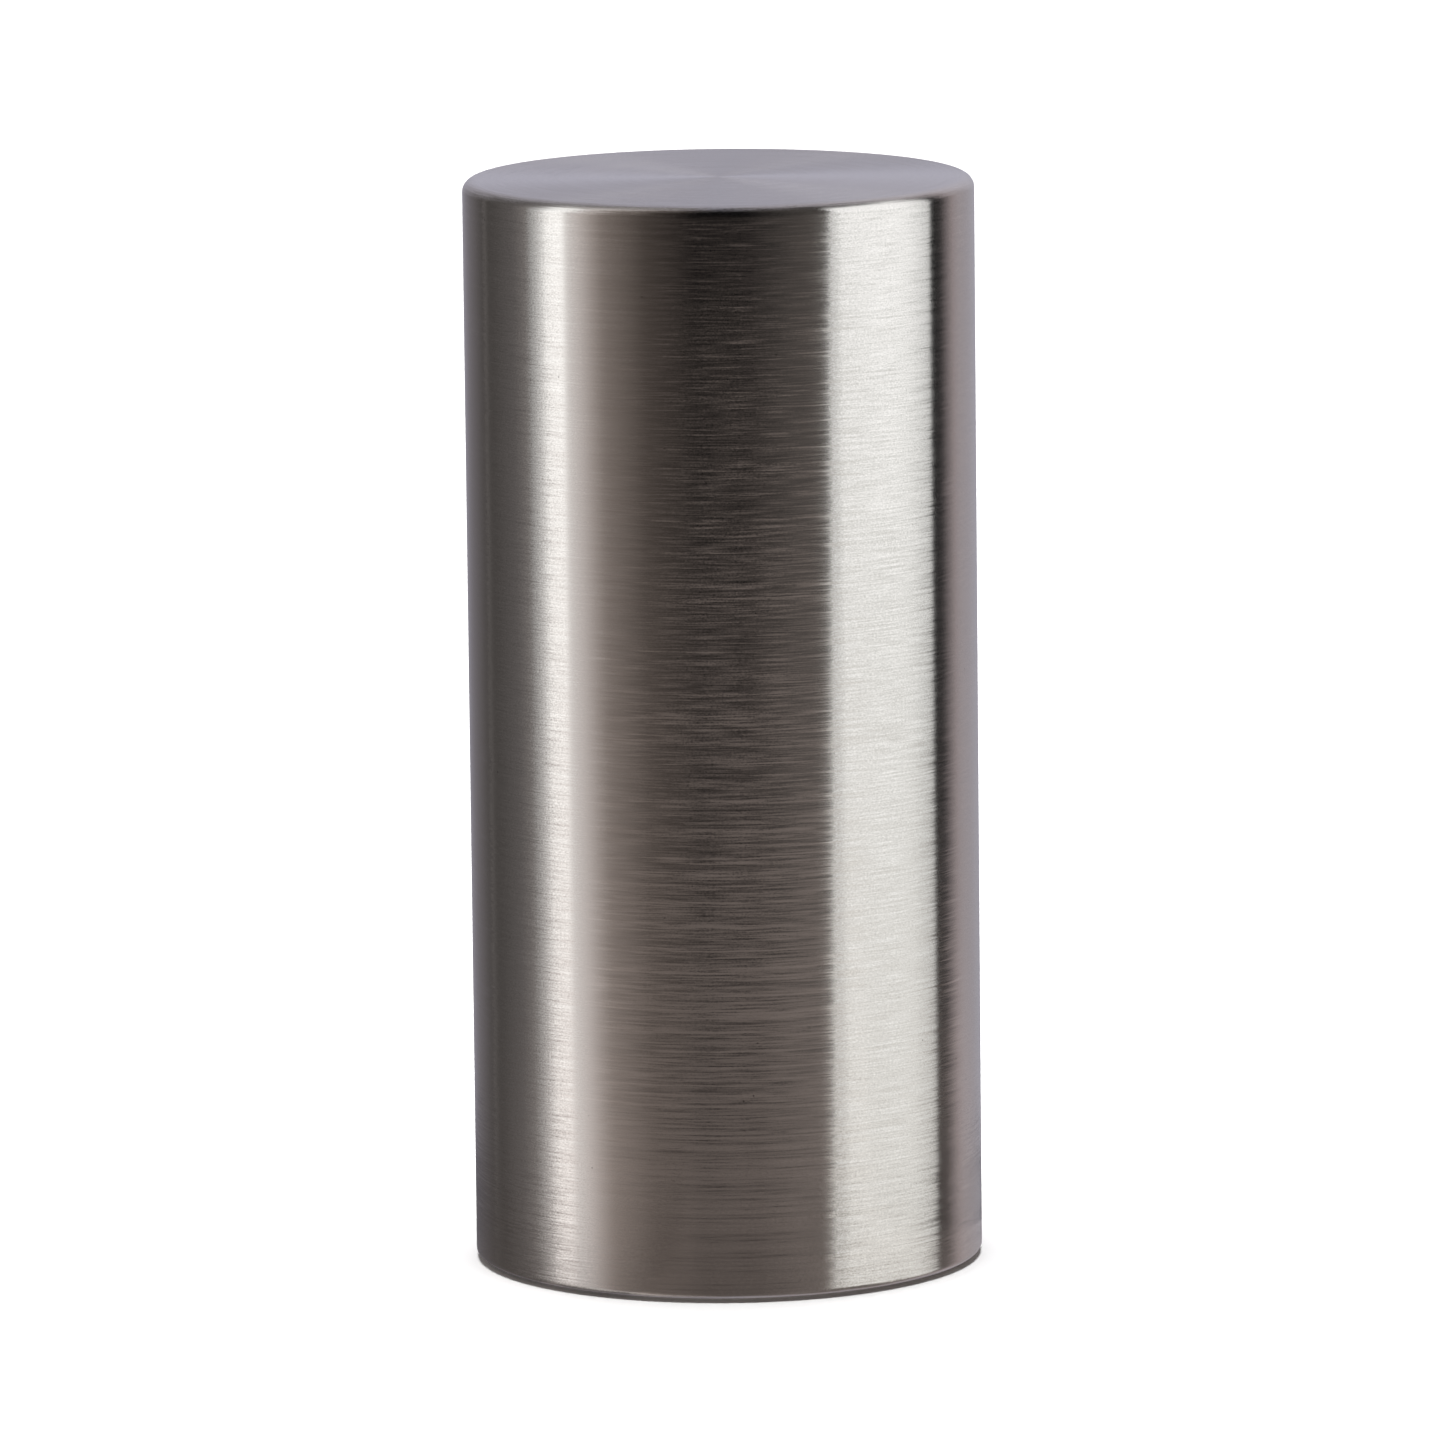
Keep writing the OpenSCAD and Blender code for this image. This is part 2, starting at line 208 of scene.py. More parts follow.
def table_patch(name, x, y, inner, outer, glow, clear):
    """A round patch just under the table's face, which only the steel sees.

    It glows, and lets through a share of what lies below it. It fades from its inner radius out.
    """
    middle = (x, y, -patch_depth)
    shape = bmesh.new()
    bmesh.ops.create_circle(shape, cap_ends=True, segments=64, radius=outer)
    bmesh.ops.translate(shape, verts=shape.verts, vec=middle)
    material, tree, place = new_material(name)
    off = vector(tree, "DISTANCE", place, middle)
    fade = ranged(tree, off, inner, outer, 1.0, 0.0, interpolation_type="SMOOTHSTEP")
    strength = number(tree, "MULTIPLY", fade, glow)
    shine = wire(tree, "ShaderNodeEmission", Color=patch_colour, Strength=strength)
    passed = number(tree, "MULTIPLY_ADD", fade, clear - 1, 1.0)
    window = wire(tree, "ShaderNodeBsdfTransparent", Color=passed)
    added = wire(tree, "ShaderNodeAddShader", _0=shine.outputs[0], _1=window.outputs[0])
    wire(tree, "ShaderNodeOutputMaterial", Surface=added.outputs[0])
    stage_piece(name, shape, material, "glossy")


white, tree = new_material("white_table")[:2]
surface(tree, Base_Color=(0.94, 0.94, 0.94, 1), Roughness=0.9, Specular_IOR_Level=0.1)
shape = bmesh.new()
bmesh.ops.create_grid(shape, x_segments=1, y_segments=1, size=table_reach)
stage_piece("table", shape, white, "camera", "diffuse", "shadow")

softbox_glow = [
    (46, 1.3), (49.5, 1.2), (51, 1.02), (52.5, 1.1), (54.5, 1.42), (58, 1.45),
    (72, 1.5), (86, 1.5), (91, 1.46), (98, 1.28), (104, 1.12), (106.7, 1.2),
]
softbox_shades = [
    (0, (0.58, 0.57, 0.53)), (0.25, (0.69, 0.695, 0.67)), (0.33, (0.70, 0.705, 0.685)),
    (0.38, (0.79, 0.80, 0.785)), (0.43, (0.96, 0.97, 0.96)), (0.55, (1, 1, 1)),
]
light_card("softbox", (44.7, 53.5), (106.7, 106.7), softbox_glow, softbox_shades)
strip_glow = [(-92, 0.42), (-87, 0.78), (-83.5, 1.15), (-81, 1.6), (-73, 1.65), (-70.9, 1.5)]
strip_shades = [
    (0, (0.52, 0.47, 0.45)), (0.25, (0.74, 0.69, 0.67)), (0.33, (0.84, 0.81, 0.79)),
    (0.43, (0.98, 0.97, 0.95)), (0.55, (1, 1, 0.99)),
]
light_card("strip", (-92, -92), (-70.9, -70.9), strip_glow, strip_shades)

# a diffuser overhead whitens the table, and stays out of the steel's reflections
diffuser = bpy.data.lights.new("diffuser", "AREA")
diffuser.shape = "SQUARE"
diffuser.size = lamp_size
diffuser.energy = lamp_power
overhead = bpy.data.objects.new("diffuser", diffuser)
overhead.location = (0, 0, lamp_height)
overhead.visible_camera = False
overhead.visible_glossy = False
bpy.context.scene.collection.objects.link(overhead)

# the lit table in front and at the side, and the shade at the foot
table_patch("front_glow", 0.045, -0.15, inner=0.03, outer=0.27, glow=0.245, clear=1.0)
table_patch("side_glow", 0.12, 0.03, inner=0.01, outer=0.09, glow=0.12, clear=1.0)
table_patch("foot_shade", -0.005, 0.03, inner=0.02, outer=0.08, glow=0.0, clear=0.35)

# the room as the steel sees it, by azimuth in degrees from the front
room_colours = [
    (-180, (0.33, 0.325, 0.385)),
    (-158, (0.215, 0.20, 0.22)),
    (-142, (0.14, 0.128, 0.13)),
    (-133, (0.085, 0.077, 0.073)),
    (-131, (0.20, 0.185, 0.18)),
    (-129, (0.075, 0.068, 0.064)),
    (-106, (0.15, 0.138, 0.135)),
    (-98, (0.25, 0.23, 0.222)),
    (-94, (0.37, 0.345, 0.335)),
    (-90, (0.50, 0.47, 0.455)),
    (-86.5, (0.72, 0.69, 0.67)),
    (-74, (0.95, 0.91, 0.89)),
    (-66, (0.70, 0.64, 0.615)),
    (-60, (0.44, 0.385, 0.36)),
    (-54, (0.25, 0.21, 0.19)),
    (-34, (0.07, 0.057, 0.05)),
    (-12, (0.004, 0.004, 0.004)),
    (14, (0.006, 0.006, 0.006)),
    (45, (0.085, 0.076, 0.071)),
    (112, (0.01, 0.01, 0.01)),
    (119, (0.02, 0.02, 0.02)),
    (131, (0.40, 0.34, 0.345)),
    (137, (0.44, 0.395, 0.41)),
    (158, (0.42, 0.40, 0.44)),
    (180, (0.33, 0.325, 0.385)),
]
room = bpy.data.worlds.new("room")
bpy.context.scene.world = room
room.use_nodes = True
tree = room.node_tree
tree.nodes.clear()
direction = wire(tree, "ShaderNodeTexCoord").outputs["Generated"]
x, y, z = split(tree, direction)
azimuth = number(tree, "ARCTAN2", x, number(tree, "MULTIPLY", y, -1.0))
stops = [((turn + 180) / 360, colour) for turn, colour in room_colours]
walls = ramp(tree, ranged(tree, azimuth, -pi, pi), stops)

# the ceiling behind the object is lit, and shows in its flat top
up_and_back = vector(tree, "DOT_PRODUCT", direction, (0, 0.77, 0.64))
lit = ranged(tree, up_and_back, 0.6, 1.0, 0.0, 0.25, interpolation_type="SMOOTHSTEP")
ceiling = vector(tree, "SCALE", (0.92, 0.9, 1.0), Scale=lit)
room_light = wire(tree, "ShaderNodeBackground", Color=vector(tree, "ADD", walls, ceiling), Strength=1.0)
backdrop = wire(tree, "ShaderNodeBackground", Color=(1, 1, 1, 1), Strength=1.0)
seen = wire(tree, "ShaderNodeLightPath").outputs["Is Camera Ray"]
either = wire(tree, "ShaderNodeMixShader", Fac=seen, _1=room_light.outputs[0], _2=backdrop.outputs[0])
wire(tree, "ShaderNodeOutputWorld", Surface=either.outputs[0])

# ---- Base ----
# The foot that the whole lock stands on, turned from steel bar. Its skirt fills the cover's
# mouth, a groove in the skirt holds the lower seal, and its deck is bored for the barrel's flange.

base_low, base_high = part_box("base")
dial_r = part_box("letter_ring_1")[1].x
skirt_z = 0.0084
pad_seat_r = 0.019
pad_top_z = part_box("foot_pad")[1].z
flange_seat_r = 0.01515
flange_seat_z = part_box("barrel")[0].z
edge_r = 0.0004
chamfer = 0.0002
groove_h = 0.0019
groove_depth = 0.00142
groove_lip = 0.00015
reading_line = -90
screw_azimuths = (0, 120, 240)
screw_head_r = 0.00235
screw_shank_r = 0.00125
screw_play = 0.00015
sink_play = 0.00025
screw_ring_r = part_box("base_screws")[1].x - screw_head_r
overlap = 0.0005
drill_start_r = 0.03


def arc(centre_r, centre_z, radius, start, end, steps):
    """Points of an arc in the r-z plane, with its angles in degrees from the r axis."""
    turns = [radians(start + (end - start) * k / steps) for k in range(steps + 1)]
    return [(centre_r + radius * cos(t), centre_z + radius * sin(t)) for t in turns]


def turned(profile, steps):
    """A bmesh of an (r, z) outline spun round the axis, closed and facing outwards."""
    shape = bmesh.new()
    points = [shape.verts.new((r, 0, z)) for r, z in profile]
    edges = [shape.edges.new(pair) for pair in zip(points, points[1:])]
    if profile[0][0] > 0 or profile[-1][0] > 0:
        edges.append(shape.edges.new((points[-1], points[0])))
    bmesh.ops.spin(shape, geom=points + edges, cent=(0, 0, 0), axis=(0, 0, 1), angle=2 * pi,
                   steps=steps, use_merge=True)
    bmesh.ops.remove_doubles(shape, verts=shape.verts, dist=1e-7)
    bmesh.ops.recalc_face_normals(shape, faces=shape.faces)
    return shape


def smooth(thing, angle=35):
    """Smooth shading that keeps edges sharper than the angle."""
    thing.data.shade_smooth()
    thing.data.set_sharp_from_angle(angle=radians(angle))


def cut(thing, tool):
    """Cuts a tool out of a piece and throws it away. The cut faces keep the tool's material."""
    cutter = thing.modifiers.new("cut", "BOOLEAN")
    cutter.operation = "DIFFERENCE"
    cutter.solver = "EXACT"
    cutter.material_mode = "TRANSFER"
    cutter.use_self = True
    cutter.object = tool
    graph = bpy.context.evaluated_depsgraph_get()
    finished = bpy.data.meshes.new_from_object(thing.evaluated_get(graph))
    thing.modifiers.remove(cutter)
    thing.data = finished
    bpy.data.objects.remove(tool)


def drill(thing, radius, inner, height, azimuths, material):
    """Drills holes in a piece along radii, from outside down to the inner radius.

    Azimuths are in degrees from +X. The drill is turned a little about itself, so that its
    facets keep off the piece's own edges.
    """
    off_the_edges = Matrix.Rotation(radians(3), 4, "Z")
    shape = bmesh.new()
    for azimuth in azimuths:
        made = bmesh.ops.create_cone(shape, cap_ends=True, segments=40, radius1=radius, radius2=radius,
                                     depth=drill_start_r - inner, matrix=off_the_edges)
        lay = Matrix.Translation(((drill_start_r + inner) / 2, 0, height)) @ Matrix.Rotation(pi / 2, 4, "Y")
        aimed = Matrix.Rotation(radians(azimuth), 4, "Z") @ lay
        bmesh.ops.transform(shape, verts=made["verts"], matrix=aimed)
    cut(thing, piece("drill", shape, material))


def drill_for_pin(thing, pin, material):
    """Drills the hole that an index pin is pressed into, at the reading line."""
    low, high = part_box(pin)
    drill(thing, (high.x - low.x) / 2, -high.y, (low.z + high.z) / 2, (reading_line,), material)


def seal_groove(node, outer):
    """The outline of the groove that a seal sits in, from below to above."""
    low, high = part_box(node)
    middle = (low.z + high.z) / 2
    bottom, top = middle - groove_h / 2, middle + groove_h / 2
    floor = outer - groove_depth
    lip_in = outer - groove_lip
    return [(outer, bottom - groove_lip), (lip_in, bottom), (floor, bottom), (floor, top), (lip_in, top),
            (outer, top + groove_lip)]


def brushed(name, tint, roughness, pitch, length, tilt, shift=0.0, tone=0.05, spread=1.0, pitted=False):
    """Metal with fine lines round the Z axis, which spread light across themselves.

    Pitch and length are those of a line. Tilt leans the face across the lines and shift along
    them, and tone varies the metal's shade.
    """
    material, tree, place = new_material(name)
    x, y, z = split(tree, place)
    flat = wire(tree, "ShaderNodeCombineXYZ", X=x, Y=y).outputs[0]
    across = number(tree, "SUBTRACT", z, vector(tree, "LENGTH", flat))

    def lines(line_pitch, line_length, seed):
        """A noise that changes fast across the lines and slowly along them, centred on nought."""
        fast = number(tree, "MULTIPLY_ADD", across, 1 / line_pitch, seed)
        slow_x, slow_y, slow_z = split(tree, vector(tree, "SCALE", flat, Scale=1 / line_length))
        spot = wire(tree, "ShaderNodeCombineXYZ", X=slow_x, Y=slow_y, Z=fast).outputs[0]
        wavy = wire(tree, "ShaderNodeTexNoise", Vector=spot, Scale=1.0, Detail=0.0)
        return number(tree, "SUBTRACT", wavy.outputs["Fac"], 0.5)

    short = lines(pitch, length, 0.0)
    grain = lines(0.8 * pitch, 0.05 * length, 91.0)
    long = lines(1.7 * pitch, 5 * length, 37.0)
    both = number(tree, "MULTIPLY_ADD", long, 0.7, short)
    whole = number(tree, "MULTIPLY_ADD", grain, 0.7, both)

    # each line leans a little across itself, and less along itself
    along = wire(tree, "ShaderNodeVectorTransform", vector_type="VECTOR", convert_from="OBJECT",
                 convert_to="WORLD", Vector=vector(tree, "CROSS_PRODUCT", (0, 0, 1), flat))
    along_unit = vector(tree, "NORMALIZE", along.outputs[0])
    facing = wire(tree, "ShaderNodeNewGeometry").outputs["Normal"]
    tangent = vector(tree, "NORMALIZE", vector(tree, "CROSS_PRODUCT", facing, along_unit))
    lean = vector(tree, "SCALE", tangent, Scale=number(tree, "MULTIPLY", whole, tilt))
    slide = vector(tree, "SCALE", along_unit, Scale=number(tree, "MULTIPLY", grain, shift))
    normal = vector(tree, "NORMALIZE", vector(tree, "ADD", vector(tree, "ADD", facing, lean), slide))

    polish = number(tree, "MULTIPLY_ADD", long, 0.12, roughness)
    even = number(tree, "MULTIPLY_ADD", grain, 5 * tone, 1 - tone)
    shade = number(tree, "MULTIPLY_ADD", both, 2 * tone, even)
    if pitted:
        # a few pits and specks, one to a cell where a cell's centre lies in the surface
        cells = wire(tree, "ShaderNodeTexVoronoi", Vector=place, Scale=250.0)
        clean = ranged(tree, cells.outputs["Distance"], 0.012, 0.026, 0.3, 1.0)
        shade = number(tree, "MULTIPLY", shade, clean)
    colour = vector(tree, "SCALE", tint, Scale=shade)
    surface(tree, Base_Color=colour, Roughness=polish, Normal=normal, Tangent=tangent, Metallic=1.0,
            Anisotropic=spread)
    return material


turned_steel = brushed("turned_steel", (0.60, 0.585, 0.57), roughness=0.30, pitch=0.0003, length=0.02,
                       tilt=0.22, shift=0.01, spread=0.9)
outline = (
    [(0, pad_top_z), (pad_seat_r, pad_top_z)]
    + [(pad_seat_r, base_low.z + chamfer), (pad_seat_r + chamfer, base_low.z)]
    + arc(base_high.x - edge_r, base_low.z + edge_r, edge_r, -90, 0, 5)
    + seal_groove("base_o_ring", base_high.x)
    + arc(base_high.x - edge_r, skirt_z - edge_r, edge_r, 0, 90, 5)
    + [(dial_r, skirt_z), (dial_r, base_high.z - edge_r)]
    + arc(dial_r - edge_r, base_high.z - edge_r, edge_r, 0, 90, 5)[1:]
    + [(flange_seat_r + chamfer, base_high.z), (flange_seat_r, base_high.z - chamfer)]
    + [(flange_seat_r, flange_seat_z), (0, flange_seat_z)]
)
base = piece("base_foot", turned(outline, 192), turned_steel)

# three countersunk holes, from the pad's seat up to the flange's seat
hole_head_r = screw_head_r + screw_play
hole_shank_r = screw_shank_r + screw_play
sink_top_z = pad_top_z + screw_head_r - screw_shank_r + sink_play
outline = [
    (0, pad_top_z - overlap),
    (hole_head_r, pad_top_z - overlap),
    (hole_head_r, pad_top_z),
    (hole_shank_r, sink_top_z),
    (hole_shank_r, flange_seat_z + overlap),
    (0, flange_seat_z + overlap),
]
for azimuth in screw_azimuths:
    shape = turned(outline, 32)
    lay = Matrix.Rotation(radians(azimuth), 4, "Z") @ Matrix.Translation((screw_ring_r, 0, 0))
    bmesh.ops.transform(shape, verts=shape.verts, matrix=lay)
    cut(base, piece("screw_hole", shape, turned_steel))
drill_for_pin(base, "base_index_pin", turned_steel)
smooth(base)
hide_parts("base")
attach(base, "core")

# ---- Foot pad ----
# A disc of black rubber glued into the base's underside. It stands a little proud, and
# three ring grooves moulded in its sole let it grip a table.

pad_low, pad_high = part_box("foot_pad")
pad_r = pad_high.x
tread_r = [0.0055, 0.0105, 0.0155]
tread_w = 0.0011
tread_depth = 0.0005


def moulded(name, tint, roughness, grain, relief):
    """Moulded rubber: dark and matt, with the fine pimples of its mould."""
    material, tree, place = new_material(name)
    fine = wire(tree, "ShaderNodeTexNoise", Vector=place, Scale=1 / grain, Detail=3.0, Roughness=0.6)
    broad = wire(tree, "ShaderNodeTexNoise", Vector=place, Scale=0.08 / grain, Detail=2.0, Roughness=0.5)
    bump = wire(tree, "ShaderNodeBump", Strength=relief, Distance=grain * 0.3, Height=fine.outputs["Fac"])
    patchy = [(0.3, [0.75 * c for c in tint]), (0.7, [1.25 * c for c in tint])]
    polish = ranged(tree, broad.outputs["Fac"], 0.3, 0.7, roughness - 0.07, roughness + 0.07)
    surface(tree, Base_Color=ramp(tree, broad.outputs["Fac"], patchy), Roughness=polish,
            Normal=bump.outputs[0], Specular_IOR_Level=0.4)
    return material


rubber = moulded("black_rubber", (0.021, 0.021, 0.023), roughness=0.62, grain=0.00025, relief=0.5)
outline = [(0, pad_low.z)]
for middle in tread_r:
    outline += [
        (middle - tread_w / 2, pad_low.z), (middle - tread_w / 4, pad_low.z + tread_depth),
        (middle + tread_w / 4, pad_low.z + tread_depth), (middle + tread_w / 2, pad_low.z),
    ]
outline += arc(pad_r - edge_r, pad_low.z + edge_r, edge_r, -90, 0, 6)
outline += [(pad_r, pad_high.z), (0, pad_high.z)]
foot_pad = piece("foot_pad_rubber", turned(outline, 160), rubber)
smooth(foot_pad)
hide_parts("foot_pad")
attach(foot_pad, "core")

# ---- Seals ----
# Two O-rings of black rubber that grip the cover, one in the base and one in the head.
# Each has the faint parting line that its mould leaves round the inside and the outside.

parting = 0.00003
seal_steps = 32


def seal(name, node, body):
    """An O-ring that takes the place of a node and rides on a body."""
    low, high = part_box(node)
    section_r = (high.z - low.z) / 2
    ring_r = high.x - section_r
    outline = arc(ring_r, (low.z + high.z) / 2, section_r, 0, 360, seal_steps)[:-1]
    for k, proud in ((0, parting), (seal_steps // 2, -parting)):
        outline[k] = (outline[k][0] + proud, outline[k][1])
    ring = piece(name, turned(outline, 192), rubber)
    smooth(ring, 60)
    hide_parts(node)
    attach(ring, body)


seal("base_seal", "base_o_ring", "core")
seal("head_seal", "head_o_ring", "vault")

# ---- Small metal ----
# Brass dowels that mark the reading line, bright steel screws and dowels, and grub screws
# with a black oxide skin. All are bought parts, pressed or screwed into the turned ones.

dials = range(1, 6)


def worn(name, tint, worn_tint, roughness, grain):
    """Small metal parts: a fine grain, with worn patches."""
    material, tree, place = new_material(name)
    fine = wire(tree, "ShaderNodeTexNoise", Vector=place, Scale=1 / grain, Detail=4.0, Roughness=0.65)
    broad = wire(tree, "ShaderNodeTexNoise", Vector=place, Scale=0.1 / grain, Detail=2.0, Roughness=0.5)
    bump = wire(tree, "ShaderNodeBump", Strength=0.25, Distance=grain * 0.15, Height=fine.outputs["Fac"])
    colour = ramp(tree, broad.outputs["Fac"], [(0.38, tint), (0.72, worn_tint)])
    polish = ranged(tree, fine.outputs["Fac"], 0.3, 0.7, roughness - 0.08, roughness + 0.08)
    surface(tree, Base_Color=colour, Roughness=polish, Normal=bump.outputs[0], Metallic=1.0)
    return material


def finish(material, *nodes):
    """Gives a finish to nodes whose shape is already right."""
    for node in nodes:
        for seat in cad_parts[node].material_slots:
            seat.material = material


pin_brass = worn("pin_brass", (0.78, 0.57, 0.27), (0.62, 0.43, 0.20), roughness=0.26, grain=0.00012)
bright_steel = worn("pin_steel", (0.60, 0.59, 0.58), (0.50, 0.49, 0.48), roughness=0.28, grain=0.00012)
black_oxide = worn("black_screws", (0.045, 0.045, 0.05), (0.10, 0.098, 0.10), roughness=0.40, grain=0.00015)
finish(pin_brass, "base_index_pin", "collar_index_pin", "head_index_pin", "lock_studs")
finish(bright_steel, "base_screws", *["code_pin_%d" % i for i in dials])
finish(black_oxide, "collar_screws", "head_screws")

# ---- Barrel and spacers ----
# The barrel is drawn steel tube, slotted for the studs and welded to its flange. The spacers
# are stamped from brass sheet, and a tab on each sits in the barrel's keyway.

tube_steel = brushed("tube_steel", (0.57, 0.56, 0.55), roughness=0.27, pitch=0.0005, length=0.03,
                     tilt=0.15, tone=0.06, spread=0.7)
dial_brass = brushed("dial_brass", (0.76, 0.56, 0.27), roughness=0.29, pitch=0.0003, length=0.015,
                     tilt=0.2, shift=0.01, tone=0.08, spread=0.8)
finish(tube_steel, "barrel")
finish(dial_brass, *["spacer_%d" % i for i in range(1, len(dials) + 2)])

# ---- Dials ----
# Each dial is a steel ring, turned, then milled with a grip groove between each two letters.
# The letters are engraved and filled with black enamel. A brass gate ring sits inside it.

letters = "ABCDEFGHIJKLMNOPQRSTUVWXYZ"
code = "HVEKO"
step = 2 * pi / len(letters)
index = radians(reading_line)
grip_r = 0.0006
grip_depth = 0.00035
ring_bore_r = 0.0194
lip_r = 0.01755
lip_t = 0.0012
cap_height = 0.0031
letter_tallest = 0.0033
letter_widest = 1.15 * letter_tallest
engraving_depth = 0.00022
seat_play = 0.00002
spins_per_letter = 20
ring_low, ring_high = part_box("letter_ring_1")
ring_h = ring_high.z - ring_low.z

dial_steel = brushed("dial_steel", (0.66, 0.65, 0.635), roughness=0.26, pitch=0.0003, length=0.02,
                     tilt=0.25, shift=0.015)
enamel, tree, place = new_material("letter_enamel")
mottle = wire(tree, "ShaderNodeTexNoise", Vector=place, Scale=5000.0, Detail=3.0)
blacks = [(0.3, (0.008, 0.008, 0.009)), (0.75, (0.03, 0.029, 0.028))]
surface(tree, Base_Color=ramp(tree, mottle.outputs["Fac"], blacks), Roughness=0.42)


def milled(shape, centre_r, tool_r, count, first, low, high, ball=False):
    """Pushes a turned shape's outside in where a round tool has milled grooves along the axis."""
    for vert in shape.verts:
        r = vert.co.xy.length
        if r < centre_r - 2 * tool_r or not low <= vert.co.z <= high:
            continue
        turn = atan2(vert.co.y, vert.co.x) - first
        part = 2 * pi / count
        off = (turn + part / 2) % part - part / 2
        beyond = max(0, low + tool_r - vert.co.z, vert.co.z - high + tool_r) if ball else 0
        reach = tool_r ** 2 - (r * off) ** 2 - beyond ** 2
        if reach > 0 and centre_r - sqrt(reach) < r:
            vert.co.xy *= (centre_r - sqrt(reach)) / r


def letter_tools():
    """All the letters of a dial as solids that stand on its face, read upwards, with A at the index."""
    pen = bpy.data.curves.new("pen", "FONT")
    pen.extrude = 0.5
    pen.resolution_u = 5
    writing = bpy.data.objects.new("pen", pen)
    bpy.context.scene.collection.objects.link(writing)
    graph = bpy.context.evaluated_depsgraph_get()

    def solid(letter):
        """One letter as a closed bmesh, as large as the font gives it."""
        pen.body = letter
        bpy.context.view_layer.update()
        mesh = bpy.data.meshes.new_from_object(writing.evaluated_get(graph))
        glyph = bmesh.new()
        glyph.from_mesh(mesh)
        bpy.data.meshes.remove(mesh)
        bmesh.ops.remove_doubles(glyph, verts=glyph.verts, dist=1e-5)
        return glyph

    def extent(glyph, axis):
        """Where a letter begins and ends along an axis."""
        places = [vert.co[axis] for vert in glyph.verts]
        return min(places), max(places)

    pattern = solid("H")
    low, high = extent(pattern, 1)
    size = cap_height / (high - low)
    pattern.free()
    stack = bmesh.new()
    for k, letter in enumerate(letters):
        glyph = solid(letter)
        left, right = extent(glyph, 0)
        low, high = extent(glyph, 1)
        fit = min(size, letter_tallest / (high - low), letter_widest / (right - left))
        turn = index + k * step
        out = Vector((cos(turn), sin(turn), 0))
        over = Vector((sin(turn), -cos(turn), 0))
        depth = 2 * engraving_depth
        stand = Matrix((
            (0, over.x * fit, out.x * depth, out.x * dial_r),
            (0, over.y * fit, out.y * depth, out.y * dial_r),
            (fit, 0, 0, ring_low.z + ring_h / 2),
            (0, 0, 0, 1),
        ))
        centred = Matrix.Translation((-(left + right) / 2, -(low + high) / 2, 0))
        bmesh.ops.transform(glyph, verts=glyph.verts, matrix=stand @ centred)
        bmesh.ops.recalc_face_normals(glyph, faces=glyph.faces)
        block = bpy.data.meshes.new("letter")
        glyph.to_mesh(block)
        glyph.free()
        stack.from_mesh(block)
        bpy.data.meshes.remove(block)
    bpy.data.objects.remove(writing)
    return piece("letters", stack, enamel)


outline = (
    [(ring_bore_r, ring_low.z)]
    + arc(dial_r - edge_r, ring_low.z + edge_r, edge_r, -90, 0, 5)
    + arc(dial_r - edge_r, ring_high.z - edge_r, edge_r, 0, 90, 5)
    + [(lip_r, ring_high.z), (lip_r, ring_high.z - lip_t), (ring_bore_r, ring_high.z - lip_t)]
)
shape = turned(outline, len(letters) * spins_per_letter)
milled(shape, dial_r + grip_r - grip_depth, grip_r, len(letters), index + step / 2, ring_low.z, ring_high.z)
blank = piece("blank_dial", shape, dial_steel)

# behind each letter, a seat for the dowel that sets the code
pin_low, pin_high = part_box("code_pin_1")
seat_r = (pin_high.x - pin_low.x) / 2 + seat_play
seat_foot_z = ring_low.z - overlap
spot = Matrix.Translation((ring_bore_r, 0, (seat_foot_z + pin_high.z) / 2))
shape = bmesh.new()
for k in range(len(letters)):
    lay = Matrix.Rotation(index + k * step, 4, "Z") @ spot
    bmesh.ops.create_cone(shape, cap_ends=True, segments=24, radius1=seat_r, radius2=seat_r,
                          depth=pin_high.z - seat_foot_z, matrix=lay)
cut(blank, piece("code_seats", shape, dial_steel))
cut(blank, letter_tools())

for i in dials:
    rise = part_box("letter_ring_%d" % i)[0].z - ring_low.z
    turn = -letters.index(code[i - 1]) * step
    lay = Matrix.Translation((0, 0, rise)) @ Matrix.Rotation(turn, 4, "Z")
    shape = bmesh.new()
    shape.from_mesh(blank.data)
    bmesh.ops.transform(shape, verts=shape.verts, matrix=lay)
    dial = piece("dial_%d" % i, shape, dial_steel)
    dial.data.materials.append(enamel)
    smooth(dial)
    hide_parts("letter_ring_%d" % i)
    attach(dial, "dial_%d" % i)
    finish(dial_brass, "gate_ring_%d" % i)
bpy.data.objects.remove(blank)

# ---- Wave spring ----
# A ring of flat spring steel pressed into four waves. It lies between the top spacer and
# the collar, and its blue-grey colour comes from tempering.

spring_low, spring_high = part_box("wave_spring")
spring_in_r = 0.01815
spring_out_r = spring_high.x
spring_t = 0.00035
corner = 0.0001
waves = 4
wave_rise = (spring_high.z - spring_low.z - spring_t) / 2
bottom_z = (spring_low.z + spring_high.z - spring_t) / 2
top_z = bottom_z + spring_t

spring_steel = worn("spring_steel", (0.30, 0.32, 0.36), (0.42, 0.42, 0.43), roughness=0.30, grain=0.0002)
outline = (
    arc(spring_out_r - corner, bottom_z + corner, corner, -90, 0, 3)
    + arc(spring_out_r - corner, top_z - corner, corner, 0, 90, 3)
    + arc(spring_in_r + corner, top_z - corner, corner, 90, 180, 3)
    + arc(spring_in_r + corner, bottom_z + corner, corner, 180, 270, 3)
)
shape = turned(outline, 288)
for vert in shape.verts:
    vert.co.z += wave_rise * cos(waves * atan2(vert.co.y, vert.co.x))
spring = piece("wave_spring_ring", shape, spring_steel)
smooth(spring, 60)
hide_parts("wave_spring")
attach(spring, "core")

# ---- Collar ----
# The ring that keeps the dials on the barrel: turned steel, with a recess below for the wave
# spring, a notch at the reading line for the studs, and three holes for its grub screws.

